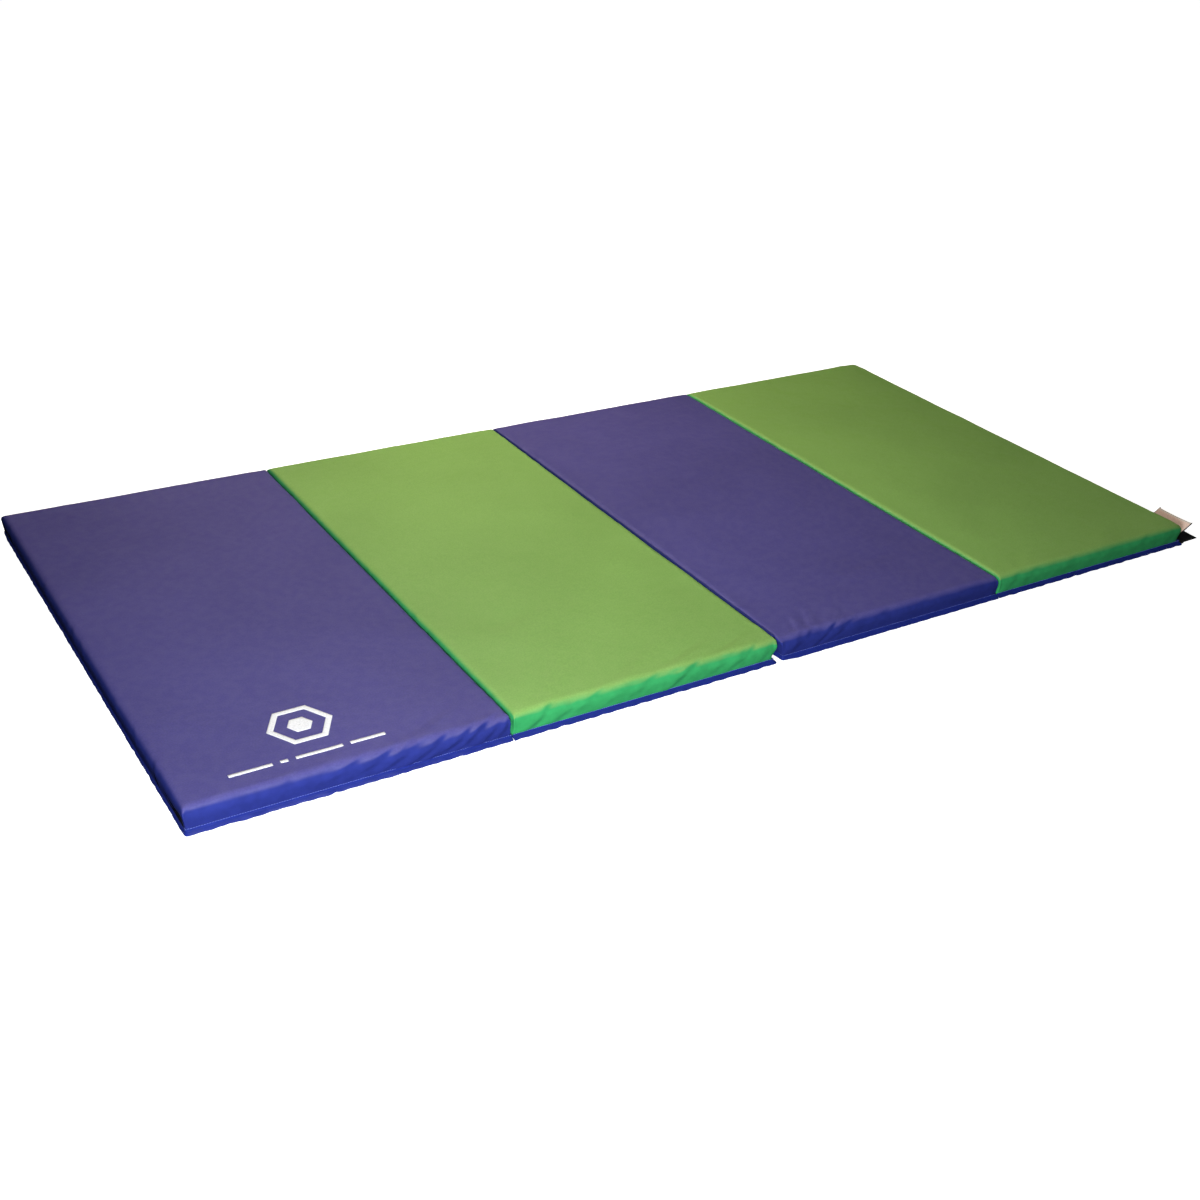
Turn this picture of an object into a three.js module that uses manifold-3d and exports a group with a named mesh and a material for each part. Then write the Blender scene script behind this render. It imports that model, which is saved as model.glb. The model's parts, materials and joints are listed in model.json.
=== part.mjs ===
// Folding gym mat: four foam panels in vinyl covers, joined by fabric hinges that alternate
// between the underside and the top, so that the mat folds up like an accordion.
// Millimetres, +Z up. The origin is on the floor, at the bottom centre of the part's own box.

import * as THREE from 'three';
import { mergeVertices } from 'three/addons/utils/BufferGeometryUtils.js';
import Module from 'manifold-3d';

const wasm = await Module();
wasm.setup();

// ---- driving dimensions -------------------------------------------------------------------

const PANEL_PITCH = 609.6; // 24 in, from one hinge line to the next
const PANEL_COUNT = 4;
const MAT_WIDTH = 1219.2; // 48 in
const THICKNESS = 50.8; // 2 in

const SHEET = 0.9; // vinyl-coated fabric
const TAPE = 0.7; // binding and hinge tape
const FIT = 0.3; // clear gap between pieces that touch
const SEAM_Z = 6; // height of the seam between the top and bottom covers
const BINDING_WIDTH = 6.5;
const BINDING_OVERRUN = 1.5; // how far the binding runs past the wall at a bottom hinge

// How a panel's side stands. foot and crest: how far its wall lies inside the panel's
// rectangle at the floor and where the rounded top edge starts. radius: of that edge.
// flange: how far the sewn edge stands out from the wall's foot, 0 where there is none.
const LONG_SIDE = { foot: 4, crest: 0, radius: 12, flange: 10.5 };
const FREE_END = { foot: 11, crest: 0, radius: 12, flange: 8 };
const BOTTOM_HINGE = { foot: 1.6, crest: 5, radius: 10, flange: 0 };
const TOP_HINGE = { foot: 15, crest: 1.5, radius: 4, flange: 8 };

const HINGE_LEAF_HEIGHT = 26;
const HINGE_LEAF_MARGIN = 1; // from the leaf to the covers' edge that it is sewn along
const HINGE_LEAF_END_GAP = 22; // bare wall at each end of a hinge leaf

// Hook-and-loop fasteners: a flap with a tab on it at each corner of the right end, and a
// loop strip low on each corner of the left end's wall.
const FLAP_LENGTH = 142;
const FLAP_REACH = 65; // from the flap's hinge line to its outer edge
const FLAP_THICKNESS = 1.2;
const FLAP_CORNER_GAP = 3; // from the mat's long side to the flap
const FLAP_HINGE_OUT = 1; // the flap's hinge line lies this far beyond the end of the mat
const FLAP_HEM_WIDTH = 9;
const TAB_LENGTH = 100;
const TAB_REACH = 64;
const TAB_ROOT = 1; // from the flap's hinge line to the tab
const TAB_CORNER_GAP = 24;
const TAB_BACKING = 0.8;
const HOOK_WIDTH = 50.8; // 2 in tape
const HOOK_THICKNESS = 1.4;
const HOOK_MARGIN = 2; // backing left bare around the hook tape
const NEAR_TAB_LIFT = 20; // degrees that the near tab has sprung up from its flap
const LOOP_LOW_EDGE = 10;
const LOOP_HEIGHT = 25;
const LOOP_THICKNESS = 1.2;

const HALF_LENGTH = (PANEL_PITCH * PANEL_COUNT) / 2;
const HALF_WIDTH = MAT_WIDTH / 2;
const FLAP_HINGE_X = HALF_LENGTH + FLAP_HINGE_OUT;
const BOX_CENTRE_X = (FLAP_HINGE_OUT + FLAP_REACH) / 2; // the flaps lengthen one end only

// ---- colours and finishes -----------------------------------------------------------------

const FINISHES = {
  blueVinyl: { color: 0x2f3b9a, roughness: 0.45 },
  greenVinyl: { color: 0x52a84c, roughness: 0.45 },
  baseVinyl: { color: 0x27348c, roughness: 0.5 },
  binding: { color: 0x22308a, roughness: 0.6 },
  hingeTape: { color: 0x1f2a70, roughness: 0.8 },
  foam: { color: 0xd9d9d2, roughness: 0.95 },
  blackVinyl: { color: 0x111114, roughness: 0.6 },
  hookTape: { color: 0xd8b9a6, roughness: 0.95 },
  loopTape: { color: 0x18181b, roughness: 1.0 },
};

function makePart(name, geometry, finishName) {
  const material = new THREE.MeshStandardMaterial({ ...FINISHES[finishName], metalness: 0 });
  const mesh = new THREE.Mesh(geometry, material);
  mesh.name = name;
  return mesh;
}

// ---- solids -------------------------------------------------------------------------------

function toSolid(geometry) {
  const bare = geometry.clone();
  bare.deleteAttribute('normal');
  bare.deleteAttribute('uv');
  const merged = mergeVertices(bare);
  const mesh = new wasm.Mesh({
    numProp: 3,
    vertProperties: new Float32Array(merged.attributes.position.array),
    triVerts: new Uint32Array(merged.index.array),
  });
  return new wasm.Manifold(mesh);
}

function toGeometry(solid) {
  const mesh = solid.getMesh();
  const geometry = new THREE.BufferGeometry();
  geometry.setAttribute('position', new THREE.BufferAttribute(mesh.vertProperties, 3));
  geometry.setIndex(new THREE.BufferAttribute(mesh.triVerts, 1));
  geometry.computeVertexNormals();
  return geometry;
}

function boxBetween(low, high) {
  const size = high.map((value, axis) => value - low[axis]);
  const middle = high.map((value, axis) => (value + low[axis]) / 2);
  return new THREE.BoxGeometry(...size).translate(...middle);
}

// A closed solid through rectangles {x0, x1, y0, y1, z}, listed from the lowest to the highest.
function loft(rectangles) {
  const positions = [];
  const triangles = [];
  for (const { x0, x1, y0, y1, z } of rectangles) {
    positions.push(x0, y0, z, x1, y0, z, x1, y1, z, x0, y1, z);
  }
  for (let ring = 0; ring + 1 < rectangles.length; ring++) {
    for (let corner = 0; corner < 4; corner++) {
      const a = ring * 4 + corner;
      const b = ring * 4 + ((corner + 1) % 4);
      triangles.push(a, b, b + 4, a, b + 4, a + 4);
    }
  }
  const top = (rectangles.length - 1) * 4;
  triangles.push(0, 2, 1, 0, 3, 2);
  triangles.push(top, top + 1, top + 2, top, top + 2, top + 3);
  const geometry = new THREE.BufferGeometry();
  geometry.setAttribute('position', new THREE.Float32BufferAttribute(positions, 3));
  geometry.setIndex(triangles);
  geometry.computeVertexNormals();
  return geometry;
}

// ---- the shape of a panel -----------------------------------------------------------------

const PANELS = [
  { name: 'panel_1', cover: 'blueVinyl', west: FREE_END, east: BOTTOM_HINGE },
  { name: 'panel_2', cover: 'greenVinyl', west: BOTTOM_HINGE, east: TOP_HINGE },
  { name: 'panel_3', cover: 'blueVinyl', west: TOP_HINGE, east: BOTTOM_HINGE },
  { name: 'panel_4', cover: 'greenVinyl', west: BOTTOM_HINGE, east: FREE_END },
].map((panel, index) => ({
  ...panel,
  south: LONG_SIDE,
  north: LONG_SIDE,
  x0: -HALF_LENGTH + index * PANEL_PITCH,
  x1: -HALF_LENGTH + (index + 1) * PANEL_PITCH,
}));
const LEFT_PANEL = PANELS[0];

// How far a surface at depth below a side's outer face lies inside the panel's rectangle, at
// height z. A wall is upright below the seam, leans above it, and rounds over at the top.
function wallInset(side, z, depth = 0) {
  const crestZ = THICKNESS - side.radius;
  if (z > crestZ) {
    const radius = side.radius - depth;
    const rise = Math.min(z - crestZ, radius);
    return side.crest + side.radius - Math.sqrt(radius ** 2 - rise ** 2);
  }
  const share = Math.max(z, SEAM_Z) / crestZ;
  return side.foot + (side.crest - side.foot) * share + depth;
}

// The panel's outline at height z, pulled in by depth and pushed out by spread(side).
function outlineAt(panel, z, depth = 0, spread = () => 0) {
  const inset = (side) => wallInset(side, z, depth) - spread(side);
  return {
    x0: panel.x0 + inset(panel.west),
    x1: panel.x1 - inset(panel.east),
    y0: -HALF_WIDTH + inset(panel.south),
    y1: HALF_WIDTH - inset(panel.north),
    z,
  };
}

// The panel's pillow shape, at depth below its outer face and from lowZ up.
function pillow(panel, lowZ, depth) {
  const crestZ = THICKNESS - LONG_SIDE.radius;
  const radius = LONG_SIDE.radius - depth;
  const steps = [0, 22.5, 45, 67.5, 90].map((degrees) => THREE.MathUtils.degToRad(degrees));
  const levels = steps.map((angle) => crestZ + radius * Math.sin(angle));
  levels.push(THICKNESS - TOP_HINGE.radius);
  levels.push(lowZ);
  if (lowZ < SEAM_Z) {
    levels.push(SEAM_Z);
  }
  levels.sort((a, b) => a - b);
  return loft(levels.map((z) => outlineAt(panel, z, depth)));
}

// A flat plate between two heights, with the panel's outline at the seam.
function seamPlate(panel, lowZ, highZ, depth = 0, spread = () => 0) {
  const { x0, x1, y0, y1 } = outlineAt(panel, SEAM_Z, depth, spread);
  return boxBetween([x0, y0, lowZ], [x1, y1, highZ]);
}

// A thin strip that lies flat on a panel's west or east wall, FIT away from it.
function wallStrip(panel, wall, lowZ, highZ, y0, y1, thickness) {
  const levels = [lowZ, SEAM_Z, highZ].filter((z) => z >= lowZ);
  const rectangles = levels.map((z) => {
    const inset = wallInset(panel[wall], z) - FIT;
    if (wall === 'west') {
      return { x0: panel.x0 + inset - thickness, x1: panel.x0 + inset, y0, y1, z };
    }
    return { x0: panel.x1 - inset, x1: panel.x1 - inset + thickness, y0, y1, z };
  });
  return loft(rectangles);
}

// ---- a panel's pieces ---------------------------------------------------------------------

// How far the covers' hems stand out from the wall, inside the binding.
function hemReach(side) {
  return side.flange > 0 ? side.flange - TAPE - FIT : 0;
}

// A foam slab, a little smaller than the inside of its covers.
function makeCore(panel) {
  return pillow(panel, SHEET + FIT, SHEET + FIT);
}

// The roof and walls of the cover, open below, with a hem turned out at the seam.
function makeTopCover(panel) {
  const footZ = SEAM_Z + FIT / 2;
  const outside = toSolid(pillow(panel, footZ, 0));
  const hem = toSolid(seamPlate(panel, footZ, footZ + SHEET, 0, hemReach));
  const inside = toSolid(pillow(panel, 0, SHEET));
  return toGeometry(outside.add(hem).subtract(inside));
}

// A shallow tray: the sheet on the floor, its upturned rim, and a hem turned out at the seam.
function makeBottomCover(panel) {
  const rimZ = SEAM_Z - FIT / 2;
  const outside = toSolid(seamPlate(panel, 0, rimZ));
  const hem = toSolid(seamPlate(panel, rimZ - SHEET, rimZ, 0, hemReach));
  const inside = toSolid(seamPlate(panel, SHEET, THICKNESS, SHEET));
  return toGeometry(outside.add(hem).subtract(inside));
}

// A folded tape around the edge of both hems, on every side but the bottom hinge's.
function makeBinding(panel) {
  const halfHeight = FIT / 2 + SHEET + FIT + TAPE;
  const slotHalfHeight = halfHeight - TAPE;
  const pastHinge = PANEL_PITCH / 4;
  const outerReach = (side) => side.flange || BINDING_OVERRUN;
  const innerReach = (side) => (side.flange ? side.flange - BINDING_WIDTH : pastHinge);
  const slotReach = (side) => (side.flange ? side.flange - TAPE : pastHinge);
  const band = toSolid(
    seamPlate(panel, SEAM_Z - halfHeight, SEAM_Z + halfHeight, 0, outerReach),
  );
  const middle = toSolid(seamPlate(panel, 0, THICKNESS, 0, innerReach));
  const slot = toSolid(
    seamPlate(panel, SEAM_Z - slotHalfHeight, SEAM_Z + slotHalfHeight, 0, slotReach),
  );
  return toGeometry(band.subtract(middle).subtract(slot));
}

function addPanel(mat, panel) {
  mat.add(makePart(`${panel.name}_foam_core`, makeCore(panel), 'foam'));
  mat.add(makePart(`${panel.name}_top_cover`, makeTopCover(panel), panel.cover));
  mat.add(makePart(`${panel.name}_bottom_cover`, makeBottomCover(panel), 'baseVinyl'));
  mat.add(makePart(`${panel.name}_edge_binding`, makeBinding(panel), 'binding'));
}

// ---- fabric hinges ------------------------------------------------------------------------

// One half of a hinge's tape, on the wall of one panel. The two halves meet at the hinge line,
// which is just under the mat at a bottom hinge and just over it at a top hinge.
function makeHingeLeaf(panel, wall) {
  const isTopHinge = panel[wall] === TOP_HINGE;
  const sewnTopZ = THICKNESS - TOP_HINGE.radius - HINGE_LEAF_MARGIN;
  const lowZ = isTopHinge ? sewnTopZ - HINGE_LEAF_HEIGHT : HINGE_LEAF_MARGIN;
  const halfLength = HALF_WIDTH - HINGE_LEAF_END_GAP;
  return wallStrip(panel, wall, lowZ, lowZ + HINGE_LEAF_HEIGHT, -halfLength, halfLength, TAPE);
}

function addHinges(mat) {
  for (let left = 0; left + 1 < PANEL_COUNT; left++) {
    const right = left + 1;
    const name = `hinge_${left + 1}${right + 1}`;
    const leftLeaf = makeHingeLeaf(PANELS[left], 'east');
    const rightLeaf = makeHingeLeaf(PANELS[right], 'west');
    mat.add(makePart(`${name}_left_leaf`, leftLeaf, 'hingeTape'));
    mat.add(makePart(`${name}_right_leaf`, rightLeaf, 'hingeTape'));
  }
}

// ---- fasteners ----------------------------------------------------------------------------

// The stretch along Y that starts gap inside a long side: toward -Y for the near corner.
function stretchFromCorner(corner, gap, length) {
  const outer = HALF_WIDTH - gap;
  return corner === 'near' ? [-outer, -outer + length] : [outer - length, outer];
}

// The tab's backing and hook tape, which lie on the flap or stand up from it by lift degrees.
function makeTab(corner, lift) {
  const [y0, y1] = stretchFromCorner(corner, TAB_CORNER_GAP, TAB_LENGTH);
  const tab = new THREE.Group();
  tab.position.set(TAB_ROOT, 0, FIT);
  tab.rotation.y = -THREE.MathUtils.degToRad(lift);
  const backing = boxBetween([0, y0, 0], [TAB_REACH, y1, TAB_BACKING]);
  const hookZ = TAB_BACKING + FIT;
  const hookX = TAB_REACH - HOOK_MARGIN;
  const hook = boxBetween(
    [hookX - HOOK_WIDTH, y0 + HOOK_MARGIN, hookZ],
    [hookX, y1 - HOOK_MARGIN, hookZ + HOOK_THICKNESS],
  );
  tab.add(makePart(`${corner}_fastener_tab_backing`, backing, 'blackVinyl'));
  tab.add(makePart(`${corner}_fastener_hook_tape`, hook, 'hookTape'));
  return tab;
}

// The flap turns about its upper face's inner edge, which is the group's origin. Its hem is
// sewn under the panel's edge and stays with the panel.
function makeFastener(corner, tabLift) {
  const [y0, y1] = stretchFromCorner(corner, FLAP_CORNER_GAP, FLAP_LENGTH);
  const fastener = new THREE.Group();
  fastener.position.set(FLAP_HINGE_X, 0, FLAP_THICKNESS);
  const flap = boxBetween([FIT / 2, y0, -FLAP_THICKNESS], [FLAP_REACH, y1, 0]);
  const hem = boxBetween([-FLAP_HEM_WIDTH, y0, -FLAP_THICKNESS], [-FIT / 2, y1, 0]);
  fastener.add(makePart(`${corner}_fastener_flap`, flap, 'blackVinyl'));
  fastener.add(makePart(`${corner}_fastener_hem`, hem, 'blackVinyl'));
  fastener.add(makeTab(corner, tabLift));
  return fastener;
}

function addLoopStrip(mat, corner) {
  const [y0, y1] = stretchFromCorner(corner, FLAP_CORNER_GAP + LONG_SIDE.foot, FLAP_LENGTH);
  const highZ = LOOP_LOW_EDGE + LOOP_HEIGHT;
  const strip = wallStrip(LEFT_PANEL, 'west', LOOP_LOW_EDGE, highZ, y0, y1, LOOP_THICKNESS);
  mat.add(makePart(`${corner}_loop_strip`, strip, 'loopTape'));
}

// ---- the whole mat ------------------------------------------------------------------------

const mat = new THREE.Group();
mat.position.x = -BOX_CENTRE_X;
for (const panel of PANELS) {
  addPanel(mat, panel);
}
addHinges(mat);
mat.add(makeFastener('near', NEAR_TAB_LIFT));
mat.add(makeFastener('far', 0));
addLoopStrip(mat, 'near');
addLoopStrip(mat, 'far');

export default mat;
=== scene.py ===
"""The looks of the folding gym mat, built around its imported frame.

Shapes are worked out in millimetres in the row frame, and stored in metres. Each panel is a
foam slab in a vinyl cover: a top cover that a cloth simulation settles over the slab, a tray
below it, and a sewn edge all round. Fabric hinges join the panels.
"""

import json
import math
import random

import bmesh
import bpy
import numpy as np
from mathutils import Matrix, Vector
from mathutils.bvhtree import BVHTree


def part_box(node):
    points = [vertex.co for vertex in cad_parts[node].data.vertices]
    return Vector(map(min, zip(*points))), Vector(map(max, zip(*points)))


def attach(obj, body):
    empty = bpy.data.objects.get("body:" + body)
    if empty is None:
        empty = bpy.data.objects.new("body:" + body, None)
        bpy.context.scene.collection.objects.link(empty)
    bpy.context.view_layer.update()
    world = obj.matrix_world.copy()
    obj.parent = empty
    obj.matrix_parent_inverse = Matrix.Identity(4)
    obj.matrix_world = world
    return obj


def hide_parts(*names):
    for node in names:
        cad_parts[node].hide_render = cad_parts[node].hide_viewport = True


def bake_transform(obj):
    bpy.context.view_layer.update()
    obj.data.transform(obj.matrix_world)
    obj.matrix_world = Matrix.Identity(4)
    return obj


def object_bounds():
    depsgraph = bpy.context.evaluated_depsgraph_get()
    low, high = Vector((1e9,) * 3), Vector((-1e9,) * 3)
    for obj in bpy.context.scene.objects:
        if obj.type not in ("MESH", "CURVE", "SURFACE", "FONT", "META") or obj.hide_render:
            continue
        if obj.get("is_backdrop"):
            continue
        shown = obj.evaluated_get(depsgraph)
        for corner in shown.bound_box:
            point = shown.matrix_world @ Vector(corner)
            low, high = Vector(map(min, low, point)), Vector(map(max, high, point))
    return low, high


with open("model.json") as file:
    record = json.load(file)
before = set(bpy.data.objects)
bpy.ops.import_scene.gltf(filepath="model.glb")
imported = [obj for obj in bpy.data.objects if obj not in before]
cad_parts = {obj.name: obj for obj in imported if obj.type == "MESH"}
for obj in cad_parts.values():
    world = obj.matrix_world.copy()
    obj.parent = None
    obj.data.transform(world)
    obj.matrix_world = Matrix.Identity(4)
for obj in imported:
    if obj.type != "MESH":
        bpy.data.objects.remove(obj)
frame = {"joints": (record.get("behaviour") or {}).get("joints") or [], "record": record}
cad_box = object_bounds()

MM = 0.001

# ---- driving dimensions, in millimetres ----

HINGE_X = [joint["pos_m"][0] / MM for joint in frame["joints"][:3]]
PITCH = HINGE_X[1] - HINGE_X[0]
EDGES_X = [HINGE_X[0] - PITCH, *HINGE_X, HINGE_X[2] + PITCH]
TOP_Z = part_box("panel_1_top_cover")[1].z / MM
CORE_DEPTH = 1.2  # from a cover's outer face to the CAD core
HALF_WIDTH = CORE_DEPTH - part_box("panel_1_foam_core")[0].y / MM

SEAM_Z = 6.0  # where the top cover meets the tray below it
SHEET = 0.9  # how thick the vinyl is

# foot and crest: how far the wall lies inside the panel's rectangle at the floor and under the
# rounded top edge. radius: of that edge. flange: how far the sewn edge stands out.
# corner: the radius of the upright corners at its ends. hinge: where the side is hinged.
LONG_SIDE = {"foot": 4.0, "crest": 0.0, "radius": 17.0, "flange": 10.5}
LEFT_END = {"foot": 6.0, "crest": 0.0, "radius": 11.0, "flange": 5.0, "corner": 3.0, "hinge": ""}
RIGHT_END = {"foot": 9.0, "crest": 0.0, "radius": 12.0, "flange": 8.0, "corner": 12.0, "hinge": ""}
LOW_HINGE = {"foot": 1.6, "crest": 2.8, "flange": 0.0, "corner": 2.5, "hinge": "low"}
CRISP_LOW_HINGE = {**LOW_HINGE, "radius": 4.5}
ROUND_LOW_HINGE = {**LOW_HINGE, "radius": 9.0}
HIGH_HINGE = {"foot": 15.0, "crest": 1.5, "radius": 4.0, "flange": 8.0, "corner": 5.0, "hinge": "high"}

PANELS = [
    {"name": "panel_1", "colour": "blue", "west": LEFT_END, "east": CRISP_LOW_HINGE},
    {"name": "panel_2", "colour": "green", "west": ROUND_LOW_HINGE, "east": HIGH_HINGE},
    {"name": "panel_3", "colour": "blue", "west": HIGH_HINGE, "east": CRISP_LOW_HINGE},
    {"name": "panel_4", "colour": "green", "west": ROUND_LOW_HINGE, "east": RIGHT_END},
]
for number, panel in enumerate(PANELS):
    panel["x0"] = EDGES_X[number]
    panel["x1"] = EDGES_X[number + 1]


# ---- mesh helpers ----


def make_object(name, points, faces, material):
    """A smooth-shaded mesh object from points in millimetres."""
    mesh = bpy.data.meshes.new(name)
    mesh.from_pydata([tuple(point) for point in np.asarray(points) * MM], [], faces)
    mesh.validate()
    mesh.shade_smooth()
    mesh.materials.append(material)
    piece = bpy.data.objects.new(name, mesh)
    bpy.context.scene.collection.objects.link(piece)
    return piece


def read_points(mesh):
    """A mesh's vertices in millimetres."""
    points = np.zeros(len(mesh.vertices) * 3)
    mesh.vertices.foreach_get("co", points)
    return points.reshape(-1, 3) / MM


def write_points(mesh, points):
    mesh.vertices.foreach_set("co", (np.asarray(points) * MM).ravel())
    mesh.update()


def read_normals(mesh):
    normals = np.zeros(len(mesh.vertices) * 3)
    mesh.vertex_normals.foreach_get("vector", normals)
    return normals.reshape(-1, 3)


def apply_modifiers(piece):
    """Makes what the modifiers show the piece's own mesh."""
    evaluated = piece.evaluated_get(bpy.context.evaluated_depsgraph_get())
    mesh = bpy.data.meshes.new_from_object(evaluated)
    piece.modifiers.clear()
    piece.data = mesh
    mesh.shade_smooth()


def subdivide(piece, levels=1):
    modifier = piece.modifiers.new("subdivision", "SUBSURF")
    modifier.levels = levels
    modifier.render_levels = levels
    apply_modifiers(piece)


def thicken(piece, thickness, offset=-1.0):
    """Gives a sheet its thickness; offset -1 adds it behind the face that shows."""
    modifier = piece.modifiers.new("thickness", "SOLIDIFY")
    modifier.thickness = thickness * MM
    modifier.offset = offset
    apply_modifiers(piece)


def grid_faces(rows, columns, wrap_columns=False):
    """Quads over points stored row by row."""
    faces = []
    for row in range(rows - 1):
        for column in range(columns if wrap_columns else columns - 1):
            after = (column + 1) % columns
            faces.append(
                (
                    row * columns + column,
                    row * columns + after,
                    (row + 1) * columns + after,
                    (row + 1) * columns + column,
                )
            )
    return faces


def tube_faces(rows, columns, first=0):
    """The faces of a closed tube of rings, with an end face on each end."""
    faces = grid_faces(rows, columns, wrap_columns=True)
    faces.append(tuple(reversed(range(columns))))
    faces.append(tuple(range((rows - 1) * columns, rows * columns)))
    return [tuple(first + k for k in face) for face in faces]


def distances_along(path):
    """How far along a path each of its points lies."""
    steps = np.linalg.norm(np.diff(path, axis=0), axis=1)
    return np.concatenate([[0], np.cumsum(steps)])


def smoothstep(low, high, value):
    """A share from 0 at low to 1 at high, eased at both ends."""
    share = np.clip((value - low) / (high - low), 0, 1)
    return share * share * (3 - 2 * share)


def waves(position, lengths, seed):
    """A smooth wandering line, about -1 to 1: sines of these wavelengths, seeded phases."""
    phases = random.Random(seed)
    total = sum(np.sin(2 * math.pi * (position / length + phases.random())) for length in lengths)
    return total / math.sqrt(len(lengths))


# ---- a panel's outline ----

CORNER_STEPS = [0, 2.5, 6, 11, 18, 27]


def stations(length, step):
    """Shares of a side's length, from 0 to 1, closer together near both ends."""
    start = CORNER_STEPS[-1]
    count = round((length - 2 * start) / step)
    middle = np.linspace(start, length - start, count + 1)[1:-1]
    ends = np.array(CORNER_STEPS, float)
    return np.concatenate([ends, middle, (length - ends)[::-1]]) / length


def perimeter(nu, nv):
    """Indices (i, j) round a grid of nu by nv cells: south, east, north, west."""
    south = [(i, 0) for i in range(nu)]
    east = [(nu, j) for j in range(nv)]
    north = [(i, nv) for i in range(nu, 0, -1)]
    west = [(0, j) for j in range(nv, 0, -1)]
    return south + east + north + west


def wall_inset(side, z, depth=0.0):
    """How far a surface at depth below the side's outer face lies inside the rectangle."""
    crest_z = TOP_Z - side["radius"]
    if z > crest_z:
        radius = side["radius"] - depth
        rise = min(z - crest_z, radius)
        return side["crest"] + side["radius"] - math.sqrt(radius**2 - rise**2)
    share = max(z, SEAM_Z) / crest_z
    return side["foot"] + (side["crest"] - side["foot"]) * share + depth


def outline(panel, z, depth=0.0, out=0.0):
    """The panel's rectangle (x0, x1, y0, y1) at height z, pulled in by depth, pushed out.

    A wall at a low hinge is never pushed out, because the hinge strip lies flat on it.
    """
    west_out = min(out, 0.0) if panel["west"]["hinge"] == "low" else out
    east_out = min(out, 0.0) if panel["east"]["hinge"] == "low" else out
    west = wall_inset(panel["west"], z, depth) - west_out
    east = wall_inset(panel["east"], z, depth) - east_out
    long_side = wall_inset(LONG_SIDE, z, depth) - out
    y1 = HALF_WIDTH - long_side
    return panel["x0"] + west, panel["x1"] - east, -y1, y1


def on_rectangle(rectangle, u, v, radii):
    """Points at shares u, v of a rectangle; radii round its west and its east corners."""
    x0, x1, y0, y1 = rectangle
    x = x0 + (x1 - x0) * np.asarray(u, float)
    y = y0 + (y1 - y0) * np.asarray(v, float)
    radius = np.where(x < (x0 + x1) / 2, radii[0], radii[1])
    centre_x = np.clip(x, x0 + radius, x1 - radius)
    centre_y = np.clip(y, y0 + radius, y1 - radius)
    dx, dy = x - centre_x, y - centre_y
    in_corner = (np.abs(dx) > 1e-9) & (np.abs(dy) > 1e-9)
    reach = np.hypot(dx, dy)
    largest = np.maximum(np.abs(dx), np.abs(dy))
    scale = np.where(in_corner, largest / np.maximum(reach, 1e-9), 1.0)
    return centre_x + dx * scale, centre_y + dy * scale


def box_mesh(rings, step_x, step_y):
    """Points and faces of an open box: a flat face, then rings (z, rectangle, corner radii)."""
    u = stations(PITCH, step_x)
    v = stations(2 * HALF_WIDTH, step_y)
    nu, nv = len(u) - 1, len(v) - 1
    path = perimeter(nu, nv)
    ring_u = u[[i for i, j in path]]
    ring_v = v[[j for i, j in path]]
    points = []
    for z, rectangle, radii in rings:
        x, y = on_rectangle(rectangle, ring_u, ring_v, radii)
        points.append(np.column_stack([x, y, np.full(len(x), z)]))
    index = np.zeros((nu + 1, nv + 1), int)
    for order, (i, j) in enumerate(path):
        index[i, j] = order
    first_z, first_rectangle = rings[0][:2]
    inner = [(i, j) for i in range(1, nu) for j in range(1, nv)]
    offset = len(path) * len(rings)
    for order, (i, j) in enumerate(inner):
        index[i, j] = offset + order
    x0, x1, y0, y1 = first_rectangle
    inner_u = u[[i for i, j in inner]]
    inner_v = v[[j for i, j in inner]]
    points.append(
        np.column_stack(
            [x0 + (x1 - x0) * inner_u, y0 + (y1 - y0) * inner_v, np.full(len(inner), first_z)]
        )
    )
    faces = []
    for i in range(nu):
        for j in range(nv):
            faces.append((index[i, j], index[i + 1, j], index[i + 1, j + 1], index[i, j + 1]))
    count = len(path)
    for ring in range(len(rings) - 1):
        for order in range(count):
            after = (order + 1) % count
            upper, lower = ring * count, (ring + 1) * count
            faces.append((upper + after, upper + order, lower + order, lower + after))
    return np.concatenate(points), [tuple(int(k) for k in face) for face in faces]


# ---- materials ----


def new_material(name, roughness, specular=0.5):
    """A principled material with its node tree, shader and object coordinates."""
    material = bpy.data.materials.new(name)
    material.use_nodes = True
    nodes = material.node_tree.nodes
    shader = nodes["Principled BSDF"]
    shader.inputs["Roughness"].default_value = roughness
    shader.inputs["Specular IOR Level"].default_value = specular
    coordinates = nodes.new("ShaderNodeTexCoord")
    return material, material.node_tree, shader, coordinates.outputs["Object"]


def add_node(tree, kind, inputs, **settings):
    """A shader node, with a value or a linked socket for each of the named inputs."""
    node = tree.nodes.new("ShaderNode" + kind)
    for name, setting in settings.items():
        setattr(node, name, setting)
    for key, value in inputs.items():
        if isinstance(value, bpy.types.NodeSocket):
            tree.links.new(value, node.inputs[key])
        else:
            node.inputs[key].default_value = value
    return node


def noise(tree, vector, scale, detail=3.0, rough=0.5):
    inputs = {"Vector": vector, "Scale": scale, "Detail": detail, "Roughness": rough}
    return add_node(tree, "TexNoise", inputs).outputs["Fac"]


def cells(tree, vector, scale):
    return add_node(tree, "TexVoronoi", {"Vector": vector, "Scale": scale}).outputs["Distance"]


def remap(tree, value, low, high, to_low=0.0, to_high=1.0):
    names = ("Value", "From Min", "From Max", "To Min", "To Max")
    inputs = dict(zip(names, (value, low, high, to_low, to_high)))
    return add_node(tree, "MapRange", inputs, interpolation_type="SMOOTHSTEP").outputs["Result"]


MIX_FIRST, MIX_SECOND, MIX_RESULT = 6, 7, 2  # where the mix node has its colour sockets


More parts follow.
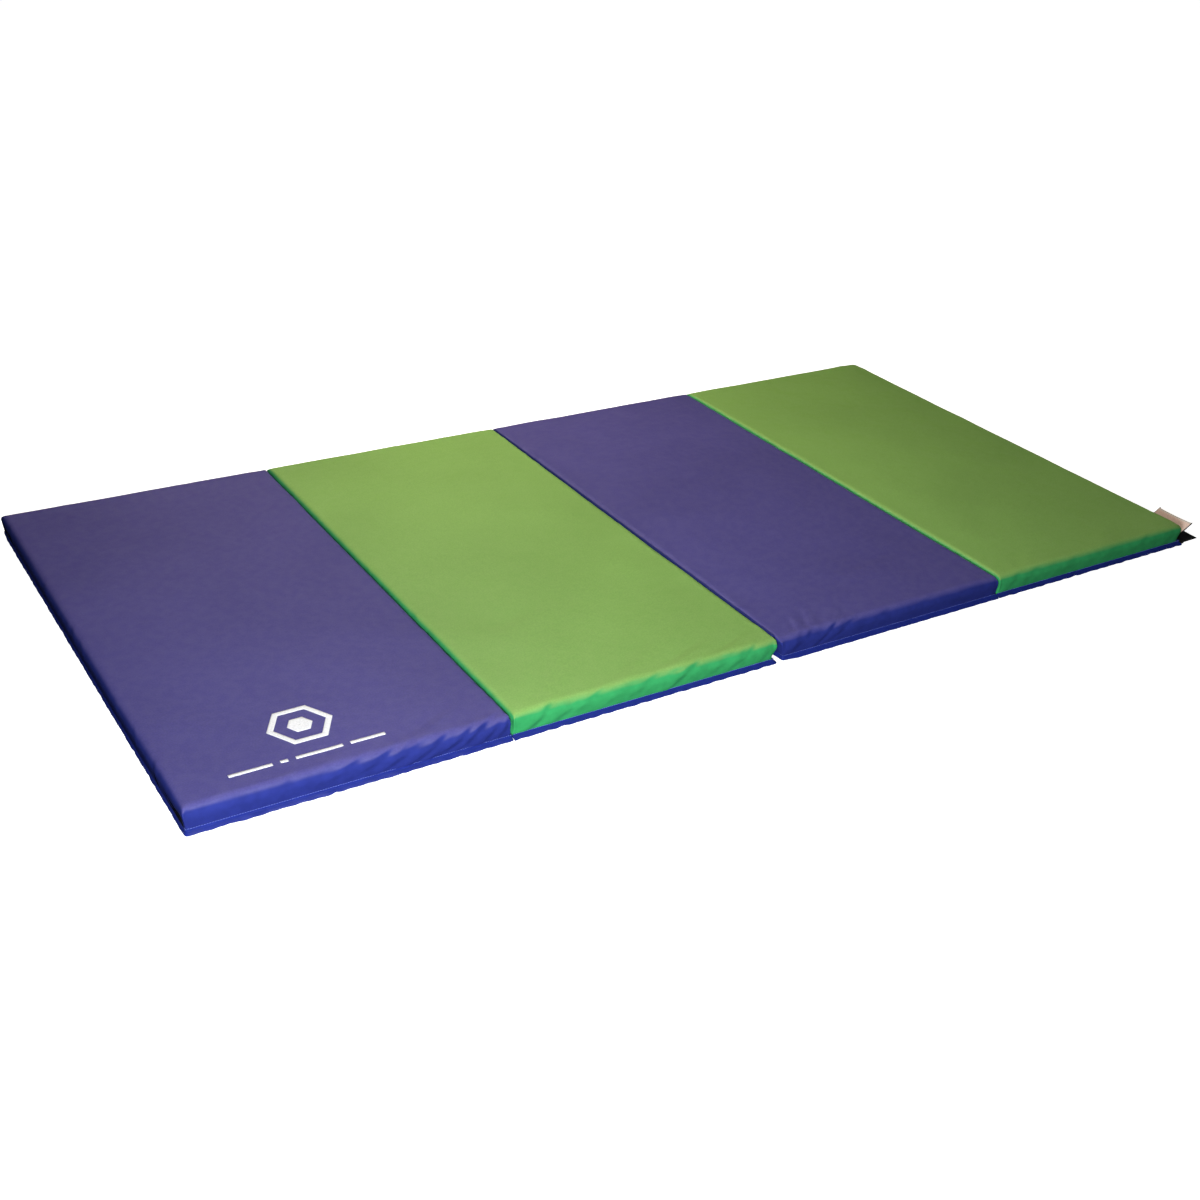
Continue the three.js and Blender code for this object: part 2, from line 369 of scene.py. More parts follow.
def mix(tree, share, first, second, blend="MIX"):
    """A colour mix; first and second are colours or sockets."""
    first, second = [(*c, 1.0) if isinstance(c, tuple) else c for c in (first, second)]
    inputs = {"Factor": share, MIX_FIRST: first, MIX_SECOND: second}
    return add_node(tree, "Mix", inputs, data_type="RGBA", blend_type=blend).outputs[MIX_RESULT]


def maths(tree, operation, *values):
    return add_node(tree, "Math", dict(enumerate(values)), operation=operation).outputs["Value"]


def height(tree, vector):
    return add_node(tree, "SeparateXYZ", {"Vector": vector}).outputs["Z"]


def facing_up(tree, coordinates):
    """The upward part of the surface's direction, in the object's own frame."""
    return height(tree, coordinates.node.outputs["Normal"])


def bump(tree, shader, value, distance, strength, before=None):
    """Bumps the shader's surface by value, on top of the bump before it."""
    inputs = {"Height": value, "Distance": distance, "Strength": strength}
    if before is not None:
        inputs["Normal"] = before
    normal = add_node(tree, "Bump", inputs).outputs["Normal"]
    tree.links.new(normal, shader.inputs["Normal"])
    return normal


def scaled(colour, factor):
    return tuple(channel * factor for channel in colour)


WEAR_AND_SHEEN = (0.012, 0.011, 0.008)  # what painted sheen and wear add to a top's colour, in patches


def vinyl(name, top, wall, roughness=0.42):
    """Grained vinyl. Its top is paler and warmer than its walls: painted sheen, and wear."""
    material, tree, shader, place = new_material(name, roughness, specular=0.3)
    high = remap(tree, height(tree, place), (TOP_Z - 16) * MM, (TOP_Z - 7) * MM)
    on_top = maths(tree, "MULTIPLY", high, remap(tree, facing_up(tree, place), 0.55, 0.99))
    cloud = remap(tree, noise(tree, place, 2.2), 0.3, 0.7)
    mottle = remap(tree, noise(tree, place, 55.0, 4.0), 0.3, 0.7)
    pores = remap(tree, noise(tree, place, 320.0, 2.0), 0.3, 0.7)
    pale = mix(tree, pores, scaled(top, 0.98), scaled(top, 1.13))
    top_colour = mix(tree, cloud, mix(tree, pores, scaled(top, 0.88), scaled(top, 1.02)), pale)
    wall_colour = mix(tree, mottle, scaled(wall, 0.92), scaled(wall, 1.08))
    # painted sheen and wear: a pale warm tint added to the top in patches
    sheen_and_wear_patches = mix(tree, maths(tree, "MULTIPLY", mottle, on_top), (0.0, 0.0, 0.0), WEAR_AND_SHEEN)
    # painted sheen: the top takes the paler, warmer top colour and the walls take the wall colour
    colour = mix(tree, on_top, wall_colour, top_colour)
    result = mix(tree, 1.0, colour, sheen_and_wear_patches, blend="ADD")
    tree.links.new(result, shader.inputs["Base Color"])
    scuffs = remap(tree, noise(tree, place, 14.0, 5.0, 0.6), 0.35, 0.75)
    rough = remap(tree, scuffs, 0.0, 1.0, roughness - 0.02, roughness + 0.07)
    tree.links.new(rough, shader.inputs["Roughness"])
    grain = bump(tree, shader, cells(tree, place, 620.0), 0.00012, 0.6)
    bump(tree, shader, noise(tree, place, 190.0, 3.0), 0.00015, 0.5, before=grain)
    return material


WAVE_TURN = 6.283  # a wave's length in the wave node's own units


def woven(name, colour, thread, roughness=0.8, depth=0.0002):
    """Plain woven tape: two crossed waves of thread."""
    material, tree, shader, place = new_material(name, roughness, 0.3)
    heights = []
    for direction in ("X", "Y"):
        inputs = {"Vector": place, "Scale": 1.0 / (thread * MM) / WAVE_TURN, "Distortion": 0.4}
        heights.append(add_node(tree, "TexWave", inputs, bands_direction=direction).outputs["Fac"])
    weave = maths(tree, "MULTIPLY", heights[0], heights[1])
    fibre = noise(tree, place, 900.0, 4.0)
    shade = maths(tree, "MULTIPLY_ADD", weave, 0.5, maths(tree, "MULTIPLY", fibre, 0.5))
    threads = mix(tree, shade, scaled(colour, 0.72), scaled(colour, 1.2))
    tree.links.new(threads, shader.inputs["Base Color"])
    bump(tree, shader, shade, depth, 0.8)
    return material


def fuzzy(name, colour, scale, roughness=0.95, depth=0.0006):
    """A pile of hooks or loops, or open foam: fine cells, deep bump."""
    material, tree, shader, place = new_material(name, roughness, 0.2)
    pile = cells(tree, place, scale)
    fibre = noise(tree, place, scale * 1.7, 5.0)
    both = maths(tree, "MULTIPLY", pile, fibre)
    shade = remap(tree, both, 0.05, 0.45)
    tufts = mix(tree, shade, scaled(colour, 0.78), scaled(colour, 1.15))
    tree.links.new(tufts, shader.inputs["Base Color"])
    bump(tree, shader, both, depth, 0.9)
    return material


def floor_material():
    """A pale studio floor, lit from below like a light table."""
    material, tree, shader, place = new_material("studio_floor", 0.9, 0.1)
    speckle = mix(tree, noise(tree, place, 3.0), (0.88, 0.88, 0.88), (0.92, 0.92, 0.92))
    tree.links.new(speckle, shader.inputs["Base Color"])
    away = add_node(tree, "VectorMath", {0: place}, operation="LENGTH")
    glow = remap(tree, away.outputs["Value"], *GLOW_RADII, *FLOOR_GLOW)
    tree.links.new(glow, shader.inputs["Emission Strength"])
    shader.inputs["Emission Color"].default_value = (1.0, 1.0, 1.0, 1.0)
    return material


GLOW_RADII = (1.3, 3.5)  # in metres, from where the floor glows softly to where it is bright
FLOOR_GLOW = (0.90, 1.00)

# The top colours are the vinyl's colour with a painted warm sheen and some wear, paler and warmer than
# the wall colours of the same vinyl.
BLUE_TOP_WITH_SHEEN = (0.078, 0.069, 0.232)
BLUE_WALL = (0.020, 0.028, 0.170)
GREEN_TOP_WITH_SHEEN = (0.215, 0.395, 0.098)
GREEN_WALL = (0.034, 0.296, 0.090)
BASE_BLUE = (0.012, 0.021, 0.165)
BLACK = (0.012, 0.012, 0.013)
WHITE = (0.80, 0.80, 0.80)

VINYL = {
    "blue": vinyl("vinyl_blue", BLUE_TOP_WITH_SHEEN, BLUE_WALL),
    "green": vinyl("vinyl_green", GREEN_TOP_WITH_SHEEN, GREEN_WALL),
}
BASE_VINYL = vinyl("vinyl_base", BASE_BLUE, BASE_BLUE, 0.5)
EDGE_VINYL = vinyl("edge_vinyl", BASE_BLUE, BASE_BLUE, 0.45)
BLACK_VINYL = vinyl("vinyl_black", BLACK, BLACK, 0.55)
PRINT_WHITE = vinyl("print_white", WHITE, WHITE, 0.4)
HINGE_TAPE = woven("hinge_tape", (0.020, 0.026, 0.130), 1.1)
FOAM = fuzzy("foam", (0.78, 0.77, 0.70), 700.0)
HOOK_TAPE = fuzzy("hook_tape", (0.88, 0.66, 0.56), 900.0, depth=0.0004)
SELVAGE = woven("hook_selvage", (0.86, 0.75, 0.64), 0.8)
LOOP_TAPE = fuzzy("loop_tape", (0.016, 0.016, 0.018), 800.0, depth=0.0008)
THREAD_BLUE = woven("thread_blue", (0.13, 0.17, 0.52), 0.4, 0.6)
STUDIO_PALE = floor_material()
THREAD_GREY = woven("thread_grey", (0.30, 0.27, 0.27), 0.4, 0.6)


# ---- panel covers ----

# The heights of a cover's rings, from its top down, and then its flare over the seam.
COVER_Z = [50.8, 50.4, 49.4, 47.8, 45.6, 42.8, 39.0, 34, 28.5, 22.5, 17.5, 13, 10, 8.2]
COVER_FLARE = [(7.3, 0.9), (6.6, 2.8)]  # height, and how far out of the wall
PINNED_RINGS = 2
COVER_STEPS = (8.5, 12.5)  # about how far apart its points are, in x and in y
STRIP_CLEARANCE = 0.15  # from a wall's line in to the vinyl held back behind a hinge strip
STRIP_EASE = 3.0  # how far past the strip's edges the vinyl is held back
CROWN = 0.35  # how far a cover may rise above the CAD face, so that folded panels clear
SINK = 1.8  # how far it may sink into the slack over the slab
SWELL = 1.6  # how far a wall may bulge towards its neighbour
LONG_SWELL = 3.4  # how far a long side's wall may
CORNER_DIP, CORNER_DIP_WIDTH = 1.3, 38.0  # how the top sinks towards a panel's corners
EDGE_DIP, EDGE_DIP_START, EDGE_DIP_END = 0.9, 14, 110  # and towards its edges
WALL_HOLD, TOP_HOLD = 0.06, 0.2  # how firmly the cloth is pinned there; 1 is fast
PRESSURE = 4.0
CLOTH_FRAMES = 20

# Creases in the near wall's vinyl: where along it, lean (mm along per mm up), lowest and
# highest girth (mm up from the floor and on over the top), half width and height of the fold.
CREASES = {
    "panel_1": [
        (168, 0.6, 30, 66, 13, 1.2), (246, 2.0, 22, 64, 15, 1.4), (296, 1.7, 16, 66, 14, 1.9),
        (344, 1.5, 8, 50, 13, 2.4), (372, 1.1, 30, 72, 10, 1.6), (396, 1.6, 8, 58, 12, 3.0),
        (434, 1.3, 6, 44, 12, 2.4), (458, 1.5, 12, 66, 11, 3.1), (500, 1.1, 8, 52, 11, 2.8),
        (520, 1.4, 28, 74, 12, 1.8), (542, 1.0, 6, 48, 10, 2.6), (574, 0.7, 10, 60, 8, 2.0),
    ],
    "panel_2": [
        (22, 1.3, 8, 44, 11, 2.2), (46, 1.0, 24, 72, 12, 1.8), (78, 1.7, 10, 46, 12, 1.5),
        (128, 1.9, 22, 68, 15, 1.2), (190, 1.1, 10, 40, 14, 0.9), (252, 1.5, 16, 60, 15, 1.3),
        (334, 1.2, 8, 52, 12, 1.9), (360, 1.5, 28, 74, 13, 1.6), (430, 1.3, 12, 44, 14, 1.0),
        (476, 0.9, 8, 66, 12, 1.8), (508, 1.2, 24, 78, 11, 1.9), (552, 0.6, 8, 54, 11, 1.6),
    ],
    "panel_3": [
        (30, 0.5, 14, 78, 10, 1.8), (58, 0.8, 30, 88, 8, 1.7), (82, 1.3, 8, 90, 9, 2.4),
        (118, 1.6, 12, 60, 12, 1.6), (150, 1.0, 34, 78, 11, 1.0), (236, 1.6, 26, 72, 16, 0.9),
        (330, 1.6, 18, 58, 17, 0.7), (470, 1.2, 14, 50, 16, 0.7),
    ],
    "panel_4": [
        (20, 0.8, 10, 52, 10, 1.0), (66, 1.3, 14, 54, 15, 0.8), (190, 1.5, 18, 62, 18, 0.6),
        (318, 1.2, 8, 46, 16, 0.7), (424, 1.4, 18, 60, 15, 0.7), (540, 0.6, 8, 50, 14, 0.8),
    ],
}
UNSEEN_CREASE_GAP = 85  # about how far apart the creases of the other sides are
CREASE_MARGIN = 30  # and how far the first and the last stay from the corners

# Long soft creases in the top, near its edges: (x0, y0) to (x1, y1) from the panel's near-left
# corner, half width and height.
TOP_CREASES = {
    "panel_1": [
        ((430, 14), (560, 90), 16, 1.1),
        ((250, 12), (330, 60), 18, 0.8),
    ],
    "panel_2": [
        ((70, 14), (190, 150), 20, 2.0),
        ((250, 12), (420, 130), 22, 1.8),
        ((350, 10), (500, 70), 15, 1.8),
        ((470, 10), (600, 60), 13, 1.5),
        ((120, 260), (330, 330), 30, 1.1),
    ],
    "panel_3": [
        ((60, 12), (84, 74), 9, 1.8),
        ((92, 12), (132, 92), 9, 2.0),
        ((130, 14), (210, 80), 14, 1.2),
        ((290, 150), (560, 190), 24, 1.2),
    ],
    "panel_4": [
        ((90, 14), (190, 90), 18, 0.8),
        ((330, 14), (470, 110), 20, 0.8),
    ],
}


def inside_edges(panel, x, y):
    """How far inside the panel's nearest edge each point lies."""
    return np.minimum.reduce([x - panel["x0"], panel["x1"] - x, HALF_WIDTH - np.abs(y)])


def cover_rings(panel):
    """Heights, outlines and corner radii of the top cover, from its flat top down."""
    rings = []
    radii = (panel["west"]["corner"], panel["east"]["corner"])
    for z in COVER_Z:
        rings.append((z, outline(panel, z), radii))
    for z, out in COVER_FLARE:
        rings.append((z, outline(panel, z, out=out), radii))
    return rings


def soft_limit(value, low, high):
    """value, eased so that it stays between low, which is negative, and high."""
    return np.where(value > 0, high * np.tanh(value / high), low * np.tanh(value / low))


def run_cloth(cover, held):
    """Steps the cloth simulation and makes its result the cover's mesh."""
    group = cover.vertex_groups.new(name="held")
    for order, weight in enumerate(held):
        group.add([order], float(weight), "REPLACE")
    settings = cover.modifiers.new("cloth", "CLOTH").settings
    settings.quality = 5
    settings.mass = 0.3
    settings.tension_stiffness = 30
    settings.compression_stiffness = 30
    settings.shear_stiffness = 10
    settings.bending_stiffness = 1.0
    settings.use_pressure = True
    settings.uniform_pressure_force = PRESSURE
    settings.effector_weights.gravity = 0
    settings.vertex_group_mass = "held"
    scene = bpy.context.scene
    for number in range(1, CLOTH_FRAMES + 1):
        scene.frame_set(number)
    apply_modifiers(cover)
    scene.frame_set(1)


def settle_cover(cover, seam_start, seam_end):
    """Lets the cover settle as cloth under light pressure, pinned along the seam.

    The slab holds the cloth softly where it lies on it, so the pins there are weak.
    """
    rest = read_points(cover.data)
    on_top = smoothstep(TOP_Z - 10, TOP_Z - 1, rest[:, 2])
    held = WALL_HOLD + (TOP_HOLD - WALL_HOLD) * on_top
    held[seam_start:seam_end] = 1.0
    run_cloth(cover, held)
    moved = read_points(cover.data) - rest
    moved[:, :2] = soft_limit(moved[:, :2], -SWELL, SWELL)
    moved[:, 2] = soft_limit(moved[:, 2], -SINK, CROWN)
    write_points(cover.data, rest + moved)


def broad_swells(panel, points):
    """Raises and sinks the slack vinyl of the top and walls, gently."""
    seed = panel["name"]
    x, y, z = points.T
    along = waves(x + 0.35 * y, (410, 263, 170), seed + "x")
    across = waves(y - 0.25 * x, (520, 331, 208), seed + "y")
    inside = inside_edges(panel, x, y)
    on_top = smoothstep(TOP_Z - 14, TOP_Z, z)
    low_edge = EDGE_DIP * (1 - smoothstep(EDGE_DIP_START, EDGE_DIP_END, inside))
    low_corner = 0.0
    for line_x, side in ((panel["x0"], panel["west"]), (panel["x1"], panel["east"])):
        if side is not LEFT_END:  # its corners stand full
            corner = np.hypot(x - line_x, HALF_WIDTH - np.abs(y))
            low_corner = low_corner + CORNER_DIP * np.exp(-((corner / CORNER_DIP_WIDTH) ** 2))
    points[:, 2] += on_top * (-0.55 + 0.45 * along * across - low_edge - low_corner)
    return points


def side_frame(panel, side):
    """For a side: its style, the axis along it and where that starts."""
    if side in ("south", "north"):
        return LONG_SIDE, 0, panel["x0"]
    return panel[side], 1, -HALF_WIDTH


def girth(panel, side, points):
    """Along the side, and up its wall, over the rounded edge and on over the top."""
    style, axis, start = side_frame(panel, side)
    x, y, z = points.T
    depth = {
        "south": y + HALF_WIDTH,
        "north": HALF_WIDTH - y,
        "west": x - panel["x0"],
        "east": panel["x1"] - x,
    }[side] - style["crest"]
    radius = style["radius"]
    crest_z = TOP_Z - radius
    angle = np.arctan2(np.maximum(z - crest_z, 0), np.maximum(radius - depth, 1e-6))
    round_part = radius * np.clip(angle, 0, math.pi / 2)
    top_part = np.maximum(depth - radius, 0)
    up = np.minimum(z, crest_z) + np.where(z > crest_z, round_part + top_part, 0)
    reach = np.where(z > crest_z + radius * 0.5, 400, style["foot"] + 8)
    return points[:, axis] - start, np.where(depth < reach, up, 1e4)


def crease(distance, half_width):
    """A fold's section: a ridge, steep on one side and easy on the other, with a hollow."""
    share = distance / half_width
    ridge = np.exp(-((share / np.where(share > 0, 0.62, 1.25)) ** 2))
    return ridge - 0.55 * np.exp(-(((share - 1.25) / 0.75) ** 2))


def wall_creases(panel):
    """The listed creases of the near wall, and seeded ones on the other sides."""
    listed = [("south", *numbers) for numbers in CREASES[panel["name"]]]
    dice = random.Random(panel["name"] + "creases")
    for side in ("north", "west", "east"):
        length = PITCH if side == "north" else 2 * HALF_WIDTH
        along = CREASE_MARGIN + dice.random() * UNSEEN_CREASE_GAP
        while along < length - CREASE_MARGIN:
            lean = dice.uniform(0.5, 1.6) * dice.choice((-1, 1))
            low = dice.uniform(8, 18)
            high = low + dice.uniform(28, 52)
            wide = dice.uniform(7, 13)
            listed.append((side, along, lean, low, high, wide, dice.uniform(0.4, 1.1)))
            along += dice.uniform(0.35, 1.9) * UNSEEN_CREASE_GAP
    return listed


def wall_crease_lift(points, panel, listed, dice):
    """How far one wall crease moves each point: it bows, and fades towards one end."""
    side, along, lean, low, high, half_width, tall = listed
    position, up = girth(panel, side, points)
    share = np.clip((up - low) / (high - low), 0, 1)
    bow = dice.uniform(-5, 5) * 4 * share * (1 - share)
    distance = position - along - bow - lean * (np.minimum(up, 90) - low)
    fade = share if dice.random() < 0.5 else 1 - share
    width = half_width * (0.75 + 0.5 * fade) / math.hypot(1, lean) * 1.2
    ease = smoothstep(low - 6, low + 12, up) * (1 - smoothstep(high - 20, high + 8, up))
    return tall * (0.45 + 0.55 * fade) * crease(distance / math.hypot(1, lean), width) * ease


def hold_behind_strips(panel, points):
    """Holds the walls back under the hinge strips, so that no vinyl comes through them."""
    number = PANELS.index(panel)
    for side, line_x, sign, joint in (
        (panel["west"], panel["x0"], 1, number - 1),
        (panel["east"], panel["x1"], -1, number),
    ):
        if not side["hinge"]:
            continue
        low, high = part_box(f"hinge_{joint + 1}{joint + 2}_left_leaf")
        upper_z = TOP_Z + CROWN if side["hinge"] == "high" else high.z / MM + STRIP_EASE
        under = points[:, 2] > low.z / MM - STRIP_EASE
        under &= points[:, 2] < upper_z
        under &= np.abs(points[:, 1]) < high.y / MM + STRIP_EASE
        for order in np.flatnonzero(under):
            wall = wall_inset(side, points[order, 2]) + STRIP_CLEARANCE
            inset = (points[order, 0] - line_x) * sign
            points[order, 0] = line_x + sign * max(inset, wall)


def press_creases(panel, cover):
    """Moves the cover's vertices along their normals into creases and raised corner seams."""
    points = read_points(cover.data)
    normals = read_normals(cover.data)
    dice = random.Random(panel["name"] + "bows")
    lift = np.zeros(len(points))
    for listed in wall_creases(panel):
        lift += wall_crease_lift(points, panel, listed, dice)
    for (ax, ay), (bx, by), half_width, tall in TOP_CREASES[panel["name"]]:
        x = points[:, 0] - panel["x0"]
        y = points[:, 1] + HALF_WIDTH
        length = math.hypot(bx - ax, by - ay)
        ux, uy = (bx - ax) / length, (by - ay) / length
        share = ((x - ax) * ux + (y - ay) * uy) / length
        distance = (y - ay) * ux - (x - ax) * uy
        ease = smoothstep(-0.1, 0.15, share) * (1 - smoothstep(0.35, 1.1, share))
        on_top = smoothstep(TOP_Z - 8, TOP_Z - 2, points[:, 2])
        lift += tall * crease(distance, half_width) * ease * on_top
    lift += corner_seams(panel, points)
    on_long_side = smoothstep(0.3, 0.8, np.abs(normals[:, 1]))
    room = SWELL + (LONG_SWELL - SWELL) * on_long_side
    lift = soft_limit(lift, -room, room)
    on_top = smoothstep(TOP_Z - 4, TOP_Z - 1, points[:, 2])
    points += normals * lift[:, None]
    ceiling = TOP_Z + CROWN
    points[:, 2] = np.where(on_top > 0, np.minimum(points[:, 2], ceiling), points[:, 2])
    hold_behind_strips(panel, points)
    write_points(cover.data, points)


def corner_seams(panel, points):
    """How far the upright seam at each corner stands out, with a dip beside it."""
    x0, x1, y0, y1 = outline(panel, TOP_Z / 2)
    lift = np.zeros(len(points))
    upright = smoothstep(9, 14, points[:, 2]) * (1 - smoothstep(TOP_Z - 9, TOP_Z - 3, points[:, 2]))
    for x in (x0, x1):
        for y in (y0, y1):
            reach = np.maximum(np.abs(points[:, 0] - x), np.abs(points[:, 1] - y))
            lift += 1.1 * np.exp(-((reach / 2.6) ** 2)) * upright
            lift -= 0.8 * np.exp(-(((reach - 6.5) / 2.8) ** 2)) * upright
    return lift


def make_top_cover(panel):
    name = panel["name"] + "_vinyl_top"
    rings = cover_rings(panel)
    points, faces = box_mesh(rings, *COVER_STEPS)
    ring_size = ring_length(*COVER_STEPS)
    cover = make_object(name, broad_swells(panel, points), faces, VINYL[panel["colour"]])
    seam_end = ring_size * len(rings)
    settle_cover(cover, seam_end - ring_size * PINNED_RINGS, seam_end)
    subdivide(cover)
    press_creases(panel, cover)
    thicken(cover, SHEET)
    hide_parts(panel["name"] + "_top_cover")
    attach(cover, panel["name"])
    return cover


# ---- foam slabs and bottom covers ----

SLAB_DEPTH = 3.2  # from the covers' outer face to the slab's, at its sides and below
SLAB_TOP_DEPTH = 5.5  # and under the slack top
SLAB_EDGE = 2.0  # the radius of its softened edges
SLAB_STEPS = (24, 30)
BASE_STEPS = (14, 20)
# The tray's rings: height, how far out of the wall, and the radius round its corners.
BASE_RINGS = [(0.0, -3.0, 6.0), (0.5, -1.4, 6.0), (1.5, -0.3, 5.0), (3.0, 0.0, 4.0)]
BASE_RIM = [(4.4, 0.0, 4.0), (5.2, 0.6, 4.0), (5.7, 2.6, 4.0)]


def make_slab(panel):
    """A cut foam slab, a little uneven, with softened edges."""
    rings = []
    top = TOP_Z - SLAB_TOP_DEPTH
    levels = [top, top - 0.6, top - SLAB_EDGE, 40, 26, 14, SLAB_DEPTH + SLAB_EDGE, SLAB_DEPTH]
    for level in levels:
        edge = min(top - level, level - SLAB_DEPTH, SLAB_EDGE)
        shrink = SLAB_EDGE - math.sqrt(max(SLAB_EDGE**2 - (SLAB_EDGE - edge) ** 2, 0))
        rings.append((level, outline(panel, level, depth=SLAB_DEPTH + shrink), (5.0, 5.0)))
    points, faces = box_mesh(rings, *SLAB_STEPS)
    points[:, 2] += 0.25 * waves(points[:, 0] + points[:, 1], (97, 61, 38), panel["name"] + "foam")
    count = ring_length(*SLAB_STEPS)
    last = count * (len(rings) - 1)
    faces.append(tuple(range(last, last + count)))
    slab = make_object(panel["name"] + "_foam_slab", points, faces, FOAM)
    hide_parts(panel["name"] + "_foam_core")
    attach(slab, panel["name"])


def ring_length(step_x, step_y):
    """How many points a ring round a panel has at these steps."""
    along_x = len(stations(PITCH, step_x)) - 1
    along_y = len(stations(2 * HALF_WIDTH, step_y)) - 1
    return 2 * (along_x + along_y)


def make_base_cover(panel):
    """The tray under the slab: a flat sheet on the floor with an upturned, hemmed rim."""
    rings = []
    for z, out, radius in BASE_RINGS + BASE_RIM:
        rings.append((z, outline(panel, z, out=out), (radius, radius)))
    points, faces = box_mesh(rings, *BASE_STEPS)
    x, y, z = points.T
    inside = inside_edges(panel, x, y)
    slack = waves(x + 0.6 * y, (190, 113, 71), panel["name"] + "base")
    slack = slack * waves(y - 0.4 * x, (230, 149, 83), panel["name"] + "base2")
    points[:, 2] += (z < 0.01) * smoothstep(10, 40, inside) * np.maximum(0.45 + 0.5 * slack, 0)
    faces = [tuple(reversed(face)) for face in faces]
    base = make_object(panel["name"] + "_vinyl_base", points, faces, BASE_VINYL)
    subdivide(base)
    thicken(base, SHEET)
    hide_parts(panel["name"] + "_bottom_cover")
    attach(base, panel["name"])


# ---- sewn edges ----

# The sewn edge's section on a long side: how far out of the wall, and height. It goes from
# the wall over a rolled ridge, down through the stitched groove to the tip, and back below.
EDGE_SECTION = [
    (0.1, 7.6), (0.6, 9.2), (1.7, 9.8), (2.8, 9.1), (3.3, 7.4), (4.1, 6.3), (5.6, 5.7), (7.6, 4.4),
    (9.4, 2.9), (10.5, 1.9), (10.6, 1.2), (10.0, 1.0), (8.2, 2.0), (5.6, 3.2), (2.8, 4.1), (0.1, 4.6),
]
EDGE_TIP = 10.5
STITCH_OUT, STITCH_Z = 1.8, 9.85
EDGE_STEP = 5.0
EDGE_RIPPLES = (131, 67, 43, 29)
NOTCH_GAP = 62  # about how far apart the notches of its ragged edge are
CALM_PANEL, CALM = "panel_3", 0.35  # the panel whose sewn edge lies straighter
TUCKED = {"panel_1": [HALF_WIDTH], "panel_3": [-HALF_WIDTH, HALF_WIDTH]}  # corners, by their y
TUCK, TUCK_WIDTH = 0.62, 26  # how much of the edge's reach such a corner loses
HINGE_CLEARANCE = 0.15  # from a sewn edge's end to the hinge line
STITCH_PITCH, STITCH_LENGTH, STITCH_WIDTH = 4.6, 3.6, 1.1


def foot_corners(panel):
    """The foot's rectangle at the seam, which runs on to the hinge line at a bottom hinge."""
    x0, x1, y0, y1 = outline(panel, SEAM_Z)
    if panel["west"]["hinge"] == "low":
        x0 = panel["x0"] + HINGE_CLEARANCE
    if panel["east"]["hinge"] == "low":
        x1 = panel["x1"] - HINGE_CLEARANCE
    return x0, x1, y0, y1


def edge_path(panel):
    """Along the sewn sides: foot points, outward directions, reach shares and distances."""
    x0, x1, y0, y1 = foot_corners(panel)
    south = ((x0, y0), (x1, y0), (0, -1), LONG_SIDE)
    east = ((x1, y0), (x1, y1), (1, 0), panel["east"])
    north = ((x1, y1), (x0, y1), (0, 1), LONG_SIDE)
    west = ((x0, y1), (x0, y0), (-1, 0), panel["west"])
    sides = [south, east, north] if panel["west"]["hinge"] == "low" else [north, west, south]
    feet, outward = [], []
    for order, (start, end, direction, style) in enumerate(sides):
        start, end = np.array(start, float), np.array(end, float)
        length = np.linalg.norm(end - start)
        share = style["flange"] / LONG_SIDE["flange"]
        push = np.array(direction, float) * share
        shares = stations(length, EDGE_STEP)
        for number, along in enumerate(shares[:-1] if order < 2 else shares):
            direction_here = push
            if number == 0 and order > 0:
                before = sides[order - 1]
                share_before = before[3]["flange"] / LONG_SIDE["flange"]
                direction_here = push + np.array(before[2], float) * share_before
            feet.append(start + (end - start) * along)
            outward.append(direction_here)
    feet, outward = np.array(feet), np.array(outward)
    return feet, outward, distances_along(feet)


def edge_shape(panel, feet, distance):
    """For each station: how far the tip reaches and lifts, which makes the ragged edge."""
    seed = panel["name"] + "edge"
    calm = CALM if panel["name"] == CALM_PANEL else 1.0
    reach = 1 + 0.08 * calm * waves(distance, EDGE_RIPPLES, seed)
    lift = 0.6 * (1 + waves(distance, EDGE_RIPPLES, seed + "lift")) * calm
    dice = random.Random(seed)
    position = dice.uniform(0, NOTCH_GAP)
    while position < distance[-1]:
        notch = np.exp(-(((distance - position) / dice.uniform(3, 6)) ** 2)) * calm
        reach -= dice.uniform(-0.16, 0.2) * notch
        lift += dice.uniform(0.2, 1.2) * notch
        position += dice.uniform(0.5, 1.6) * NOTCH_GAP
    for y in TUCKED.get(panel["name"], []):
        corner = np.hypot(feet[:, 0] - panel["x0"], feet[:, 1] - y)
        reach -= TUCK * np.exp(-((corner / TUCK_WIDTH) ** 2))
    return reach, lift


def make_sewn_edge(panel):
    """The folded tape over the covers' seam, lying out and down to the floor."""
    feet, outward, distance = edge_path(panel)
    reach, lift = edge_shape(panel, feet, distance)
    points = []
    for order in range(len(feet)):
        for out, z in EDGE_SECTION:
            share = min(out / EDGE_TIP, 1)
            place = feet[order] + outward[order] * out * (1 + (reach[order] - 1) * share)
            points.append((*place, z + lift[order] * share**2))
    faces = tube_faces(len(feet), len(EDGE_SECTION))
    edge = make_object(panel["name"] + "_sewn_edge", points, faces, EDGE_VINYL)
    recalculate_normals(edge)
    subdivide(edge)
    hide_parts(panel["name"] + "_edge_binding")
    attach(edge, panel["name"])
    stitches = stitch_row(
        panel["name"] + "_edge_stitches",
        [(*(feet[k] + outward[k] * STITCH_OUT), STITCH_Z) for k in range(len(feet))],
        (0, 0, 1),
        THREAD_BLUE,
    )
    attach(stitches, panel["name"])


def recalculate_normals(piece):
    built = bmesh.new()
    built.from_mesh(piece.data)
    bmesh.ops.recalc_face_normals(built, faces=built.faces)
    built.to_mesh(piece.data)
    built.free()


